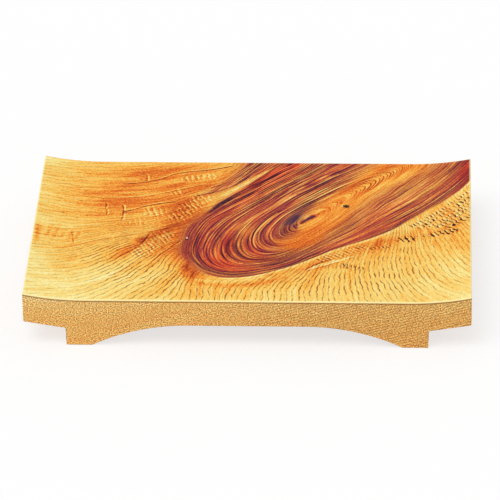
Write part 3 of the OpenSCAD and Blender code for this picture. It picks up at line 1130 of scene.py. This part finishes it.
# %% Close rings of the core
TIGHT_LINES = 85.0
TIGHT_SHIFT = 0.5
TIGHT_LINE_MM = (0.9, 0.2)
TIGHT_LINE_TONE = 0.42
tight = field["tight_ring"]
tight = add(tree, MATH, [band["narrow"], TIGHT_SHIFT, tight], operation="MULTIPLY_ADD")
tight = add(tree, MATH, [tight, 0.5], operation="PINGPONG")
tight_per_mm = add(tree, MATH, [field["heart_slope"], TIGHT_LINES], operation="MULTIPLY")
tight_mm = add(tree, MATH, [tight, tight_per_mm], operation="DIVIDE")
tight = add(tree, RANGE, [tight_mm, *TIGHT_LINE_MM], **SMOOTH)
apart = add(tree, RANGE, [tight_per_mm, 1.2, 0.5])
tight = add(tree, MATH, [tight, apart], operation="MULTIPLY")
tight = add(tree, MATH, [tight, field["core_ring"]], operation="MULTIPLY")
tone_heart = add(tree, MATH, [tight, TIGHT_LINE_TONE, tone_heart], operation="MULTIPLY_ADD")

# %% [markdown]
# The sapwood's rings are thin, wavy, darker lines of late wood. A slow noise shifts the ring number
# so that neighbouring lines wave together, a quicker one ripples them, and the distance to the
# nearest whole ring draws the line, which an uneven noise makes fainter here and there. A single
# fibre is a few hundredths of a millimetre wide and too fine to show, so the flecks stand for
# bundles of them.

# %% Ring lines of the sapwood
WAVE_MM = 9.0
WAVE_RINGS = 0.75
RIPPLE_MM = 2.6
RIPPLE_RINGS = 0.28
SAP_LINE_MM = (0.66, 0.08)
UNEVEN_MM = 6.0
SAP_BANDS = {"sap_broad": 0.46, "sap_fine": 0.60}
FLECK_MM = 1.2
SAP_FLECKS = 0.46
HEART_FLECKS = 0.36
wave = add(tree, NOISE, {"Vector": spot, "Scale": 1 / WAVE_MM, "Detail": 0.0})
wave = add(tree, MATH, [wave, WAVE_RINGS, field["sap_ring"]], operation="MULTIPLY_ADD")
ripple = add(tree, NOISE, {"Vector": spot, "Scale": 1 / RIPPLE_MM, "Detail": 0.0})
wave = add(tree, MATH, [ripple, RIPPLE_RINGS, wave], operation="MULTIPLY_ADD")
from_line = add(tree, MATH, [wave, 0.5], operation="PINGPONG")
line_mm = add(tree, MATH, [from_line, field["sap_slope"]], operation="DIVIDE")
line = add(tree, RANGE, [line_mm, *SAP_LINE_MM], **SMOOTH)
uneven = add(tree, NOISE, {"Vector": spot, "Scale": 1 / UNEVEN_MM, "Detail": 2.0})
uneven = add(tree, RANGE, [uneven, 0.36, 0.62, 0.1, 1.0])
line = add(tree, MATH, [line, uneven], operation="MULTIPLY")
line_shade = add(tree, MATH, [line, field["line"]], operation="MULTIPLY")
tone_sap = 0.0
for name, strength in SAP_BANDS.items():
    tone_sap = add(tree, MATH, [band[name], strength, tone_sap], operation="MULTIPLY_ADD")
fleck = add(tree, NOISE, {"Vector": spot, "Scale": 1 / FLECK_MM, "Detail": 0.0})
fleck = add(tree, MATH, [fleck, 0.5], operation="SUBTRACT")
tone_sap = add(tree, MATH, [fleck, SAP_FLECKS, tone_sap], operation="MULTIPLY_ADD")
tone_heart = add(tree, MATH, [fleck, HEART_FLECKS, tone_heart], operation="MULTIPLY_ADD")

# %% [markdown]
# The ticks' number along a row is shaken a little by the ripple noise. How far it is from a whole
# number says whether a point is in the middle of a tick, or in the bright gap beside it.

# %% Curls and ticks across the rings
BROKEN_MM = 5.0
TICK_SHAKE = 0.8
GAP_AT = 0.36
DARK_TICK = (0.27, 0.10)
BRIGHT_TICK = (0.24, 0.06)
DARK_TICK_TONE = 0.24
BRIGHT_TICK_TONE = -0.30
shaken = add(tree, MATH, [ripple, TICK_SHAKE, field["tick_at"]], operation="MULTIPLY_ADD")
broken = add(tree, NOISE, {"Vector": spot, "Scale": 1 / BROKEN_MM, "Detail": 1.0})
broken = add(tree, RANGE, [broken, 0.4, 0.56, 0.45, 1.0])
tick = add(tree, MATH, [shaken, 0.5], operation="PINGPONG")
dark_tick = add(tree, RANGE, [tick, *DARK_TICK], **SMOOTH)
dark_tick = add(tree, MATH, [dark_tick, field["tick_dark"]], operation="MULTIPLY")
dark_tick = add(tree, MATH, [dark_tick, broken], operation="MULTIPLY")
beside = add(tree, MATH, [shaken, GAP_AT], operation="SUBTRACT")
beside = add(tree, MATH, [beside, 0.5], operation="PINGPONG")
bright_tick = add(tree, RANGE, [beside, *BRIGHT_TICK], **SMOOTH)
bright_tick = add(tree, MATH, [bright_tick, field["tick_bright"]], operation="MULTIPLY")
bright_tick = add(tree, MATH, [bright_tick, broken], operation="MULTIPLY")
tone_sap = add(tree, MATH, [bright_tick, BRIGHT_TICK_TONE, tone_sap], operation="MULTIPLY_ADD")
tone_sap = add(tree, MATH, [dark_tick, DARK_TICK_TONE, tone_sap], operation="MULTIPLY_ADD")
ink = add(tree, RANGE, [dark_tick, 0.5, 1.4])

# %% [markdown]
# ## From tone to colour
# Three ramps hold the palette. Sapwood runs from cream through amber and orange to brown, and the
# golden core uses that ramp too. Red heartwood runs from amber through orange and brick red to a
# dark purple. A second heartwood ramp runs through ochre and brown.

# %% Palette
SAP_PALETTE = [(0.0, "#fff2aa"), (0.15, "#fbe186"), (0.42, "#fbc252"), (0.62, "#f08a28"),
               (0.80, "#d85c16"), (1.0, "#722200")]
HEART_PALETTE = [(0.0, "#f6bc60"), (0.25, "#e87c2e"), (0.42, "#c85632"), (0.58, "#a84232"),
                 (0.75, "#822636"), (1.0, "#380c1e")]
BROWN_PALETTE = [(0.0, "#f8d270"), (0.25, "#e09236"), (0.50, "#a65e34"), (0.75, "#683236"),
                 (1.0, "#2c1020")]
heartwood = add(tree, RANGE, [field["rim"], -1.0, 1.0], **SMOOTH)
red_share = add(tree, MATH, [field["core"], -1.0, 1.0], operation="MULTIPLY_ADD")
red_share = add(tree, MATH, [red_share, heartwood], operation="MULTIPLY")

# %% [markdown]
# Along its lower right edge the heart ends in a hard dark line with a cream one outside it. The
# creases come in here too: each adds a dark line at zero distance and a bright one 1.3 mm to its
# left.

# %% Lines at the heart's edge, and creases
CREASE_MM = (0.85, 0.1)
CREASE_LIGHT_AT_MM = 1.3
RIM_DARK_TONE = 0.20
RIM_CREAM_TONE = -0.26
rim_dark = add(tree, RANGE, [field["rim"], 3.2, 0.8], **SMOOTH)
rim_dark = add(tree, MATH, [rim_dark, field["crisp"]], operation="MULTIPLY")
tone_heart = add(tree, MATH, [rim_dark, RIM_DARK_TONE, tone_heart], operation="MULTIPLY_ADD")
rim_cream = add(tree, RANGE, [field["rim"], -5.0, -2.0], **SMOOTH)
rim_cream = add(tree, MATH, [rim_cream, field["crisp"]], operation="MULTIPLY")
tone_sap = add(tree, MATH, [rim_cream, RIM_CREAM_TONE, tone_sap], operation="MULTIPLY_ADD")
from_crease = add(tree, MATH, [field["crease"]], operation="ABSOLUTE")
crease_dark = add(tree, RANGE, [from_crease, *CREASE_MM], **SMOOTH)
crease_dark = add(tree, MATH, [crease_dark, field["crease_dark"]], operation="MULTIPLY")
from_bright = add(tree, MATH, [field["crease"], CREASE_LIGHT_AT_MM], operation="SUBTRACT")
from_bright = add(tree, MATH, [from_bright], operation="ABSOLUTE")
crease_bright = add(tree, RANGE, [from_bright, *CREASE_MM], **SMOOTH)
crease_bright = add(tree, MATH, [crease_bright, field["crease_bright"]], operation="MULTIPLY")
creased = add(tree, MATH, [crease_dark, crease_bright], operation="SUBTRACT")

# %% [markdown]
# The tone on the mesh comes in last, and the whole goes through the ramps. The brown ramp takes
# turns with the red one from band to band, as old heartwood does. The sapwood's ring lines and
# darkest ticks, the crimson and the blot are laid over that, like ink. Where patches overlap, a
# share is held at 1.

# %% Colour of sapwood and heartwood
CREASE_TONE = 0.50
tone_heart = add(tree, MATH, [creased, CREASE_TONE, tone_heart], operation="MULTIPLY_ADD")
tone_heart = add(tree, MATH, [tone_heart, field["tone_heart"]], operation="ADD")
creased = add(tree, MATH, [creased, broken], operation="MULTIPLY")
tone_sap = add(tree, MATH, [creased, CREASE_TONE, tone_sap], operation="MULTIPLY_ADD")
tone_sap = add(tree, MATH, [tone_sap, field["tone_sap"]], operation="ADD")
tone = add(tree, "ShaderNodeMix", {"Factor": heartwood, "A": tone_sap, "B": tone_heart})
sap_colour = add(tree, "ShaderNodeValToRGB", [tone], stops=SAP_PALETTE)
in_sapwood = add(tree, MATH, [1.0, heartwood], operation="SUBTRACT")
line_shade = add(tree, MATH, [line_shade, in_sapwood], operation="MULTIPLY", use_clamp=True)
sap_colour = add(tree, MIX, [line_shade, sap_colour, linear("#985828")], blend_type="MULTIPLY")
ink = add(tree, MATH, [ink, in_sapwood], operation="MULTIPLY", use_clamp=True)
sap_colour = add(tree, MIX, [ink, sap_colour, linear("#56220f")], blend_type="MULTIPLY")
heart_colour = add(tree, "ShaderNodeValToRGB", [tone], stops=HEART_PALETTE)
brown_colour = add(tree, "ShaderNodeValToRGB", [tone], stops=BROWN_PALETTE)
brown = add(tree, RANGE, [band["brown"], 0.0, 0.12, 0.0, 0.75])
heart_colour = add(tree, MIX, [brown, heart_colour, brown_colour])
colour = add(tree, MIX, [red_share, sap_colour, heart_colour])
crimson = add(tree, MATH, [field["crimson"], 1.0], operation="MULTIPLY", use_clamp=True)
colour = add(tree, MIX, [crimson, colour, linear("#ffacb6")], blend_type="MULTIPLY")
blot_share = add(tree, MATH, [band["narrow"], 1.2, 0.95], operation="MULTIPLY_ADD")
blot_share = add(tree, MATH, [blot_share, field["blot"]], operation="MULTIPLY", use_clamp=True)
colour = add(tree, MIX, [blot_share, colour, linear("#401d3c")])

# %% [markdown]
# A few pin knots and pale specks are too small for the mesh's cells, so the shader places them
# itself: it measures the distance from each one's middle, roughened by the fleck noise.

# %% Pin knots and specks
SPECK_ROUGH_MM = 2.4
# Each one's colour, its radius and its middle.
SPECKS = [("#220804", 2.4, (63.8, 35.3, 35.0)), ("#fff2d8", 0.7, (-44.3, -12.5, 35.0)),
          ("#3a100c", 0.8, (-44.5, -15.0, 35.0)), ("#f6dca8", 0.9, (-83.0, -100.0, 25.5))]
for speck_colour, radius, middle in SPECKS:
    away = add(tree, VECTOR_MATH, [spot, middle], out="Value", operation="DISTANCE")
    away = add(tree, MATH, [fleck, SPECK_ROUGH_MM, away], operation="MULTIPLY_ADD")
    inside = add(tree, RANGE, [away, 1.15 * radius, 0.65 * radius])
    colour = add(tree, MIX, [inside, colour, linear(speck_colour)])

# %% [markdown]
# On the sawn edges the wood's colour is bleached to tan, though less in the heart, where it meets
# the back. A speckle of cut fibre ends lies over it. Real ones are too fine to show, so it is drawn
# about twenty times as coarse. On the right the saw has left dark strokes that climb a little:
# lines a pitch apart, drawn from the distance across them, broken up, and growing in from left to
# right.

# %% Edge grain
SPECKLE_MM = 0.8
STROKE_PITCH = 1.9
STROKE_TILT = math.radians(16)
STROKE_SHARE = (0.30, 0.08)
STROKE_STRENGTH = 0.54
STROKE_RIPPLE = 0.3
TAN_SHARE = 0.60
HEART_KEEPS = 0.45
speckle = add(tree, NOISE, {"Vector": spot, "Scale": 1 / SPECKLE_MM, "Detail": 0.0})
speckle = add(tree, RANGE, [speckle, 0.3, 0.7, 0.36, 1.28])
across_strokes = (-math.sin(STROKE_TILT) / STROKE_PITCH, 0.0, math.cos(STROKE_TILT) / STROKE_PITCH)
strokes = add(tree, VECTOR_MATH, [spot, across_strokes], out="Value", operation="DOT_PRODUCT")
strokes = add(tree, MATH, [ripple, STROKE_RIPPLE, strokes], operation="MULTIPLY_ADD")
strokes = add(tree, MATH, [strokes, 0.5], operation="PINGPONG")
strokes = add(tree, RANGE, [strokes, *STROKE_SHARE, 0.0, STROKE_STRENGTH], **SMOOTH)
strokes = add(tree, MATH, [strokes, field["edge_line"]], operation="MULTIPLY")
strokes = add(tree, MATH, [strokes, broken], operation="MULTIPLY")
tan_share = add(tree, MATH, [heartwood, -HEART_KEEPS, TAN_SHARE], operation="MULTIPLY_ADD")
edge_tan = add(tree, MIX, [tan_share, colour, linear("#f8bc74")])
edge_tan = add(tree, MIX, [1.0, edge_tan, speckle], blend_type="MULTIPLY")
edge_tan = add(tree, MIX, [strokes, edge_tan, linear("#8c5420")])
colour = add(tree, MIX, [field["edge_grain"], colour, edge_tan])

# %% [markdown]
# The sanded arris gets a painted highlight, a thin cream line laid into the colour. Just under it,
# a hair of darker brown is painted shade, which makes the top look crisp from the front.

# %% Arris: painted highlight and painted shade
UNDER_ARRIS_MM = 1.4
ARRIS_SHADE_MM = (0.7, 0.1)
PAINTED_ARRIS_STRENGTH = 0.8
# The cream line along the arrises is a painted highlight in the base colour.
painted_highlight = add(tree, MATH, [field["arris_highlight"], PAINTED_ARRIS_STRENGTH], operation="MULTIPLY")
colour = add(tree, MIX, [painted_highlight, colour, linear("#fff0b0")])
# A hair of darker brown just under the arris is painted shade.
painted_arris_shade = add(tree, MATH, [field["depth"], UNDER_ARRIS_MM], operation="SUBTRACT")
painted_arris_shade = add(tree, MATH, [painted_arris_shade], operation="ABSOLUTE")
painted_arris_shade = add(tree, RANGE, [painted_arris_shade, *ARRIS_SHADE_MM, 0.0, PAINTED_ARRIS_STRENGTH], **SMOOTH)
colour = add(tree, MIX, [painted_arris_shade, colour, linear("#7c3c14")])

# %% [markdown]
# ## The clear matt finish
# Early wood is softer than late wood and planes a hair lower, so the rings stand up a few
# hundredths of a millimetre. The bump draws that, and the roughness varies a little with the fibre.

# %% Surface of the planed wood
RELIEF_MM = 0.12
relief = add(tree, MATH, [band["sap_fine"], 0.6, line], operation="MULTIPLY_ADD")
relief = add(tree, MATH, [bright_tick, 1.5, relief], operation="MULTIPLY_ADD")
bumped = add(tree, "ShaderNodeBump",
             {"Strength": 0.35, "Distance": RELIEF_MM * MM, "Height": relief})
rough = add(tree, RANGE, [band["sap_fine"], -0.2, 0.2, 0.58, 0.72])
wood = add(tree, "ShaderNodeBsdfPrincipled",
           {"Base Color": colour, "Roughness": rough, "Normal": bumped, "Specular IOR Level": 0.12})
add(tree, "ShaderNodeOutputMaterial", {"Surface": wood})
print("nodes in the cedar's finish:", len(tree.nodes))

# %% [markdown]
# ## Put the finish on the blocks
# The feet are cut from the same tree and matched to the plank, so they wear a copy of its finish.

# %% Pieces, their slots and what they stand for
foot_finish = plank_finish.copy()
foot_finish.name = "planed_cedar_feet"
for piece, finish, slot, node in ((plank, plank_finish, "figured_plank", "serving_board"),
                                  (left_foot, foot_finish, "foot_wood", "left_foot"),
                                  (right_foot, foot_finish, "foot_wood", "right_foot")):
    piece.data.materials.append(finish)
    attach(piece, "root")
    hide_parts(node)

# %% [markdown]
# ## The dowels
# Fluted dowels are turned from straight-grained beech. They are hidden in the joint, and their CAD
# shape is right, so they only get a finish: pale, fine and dry, with long fibres up the rod. Beech
# fibres are too fine to show, so they are drawn about half a millimetre wide and 8 mm long.

# %% Turned beech
FIBRES_PER_M = (1800.0, 1800.0, 120.0)
BEECH_RELIEF_MM = 0.05
dowel_finish, tree = new_finish("turned_beech_dowel")
spot = add(tree, "ShaderNodeTexCoord", out="Object")
fibre = add(tree, VECTOR_MATH, [spot, FIBRES_PER_M], operation="MULTIPLY")
fibre = add(tree, NOISE, {"Vector": fibre, "Scale": 1.0, "Detail": 3.0})
beech = add(tree, "ShaderNodeValToRGB", [fibre], stops=[(0.3, "#d9b483"), (0.7, "#efd9b0")])
bumped = add(tree, "ShaderNodeBump",
             {"Strength": 0.3, "Distance": BEECH_RELIEF_MM * MM, "Height": fibre})
wood = add(tree, "ShaderNodeBsdfPrincipled",
           {"Base Color": beech, "Roughness": 0.7, "Normal": bumped})
add(tree, "ShaderNodeOutputMaterial", {"Surface": wood})
dowels = [node for name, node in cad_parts.items() if name.endswith("_dowel")]
for node in dowels:
    for slot in node.material_slots:
        slot.material = dowel_finish
print("dowels finished:", len(dowels))
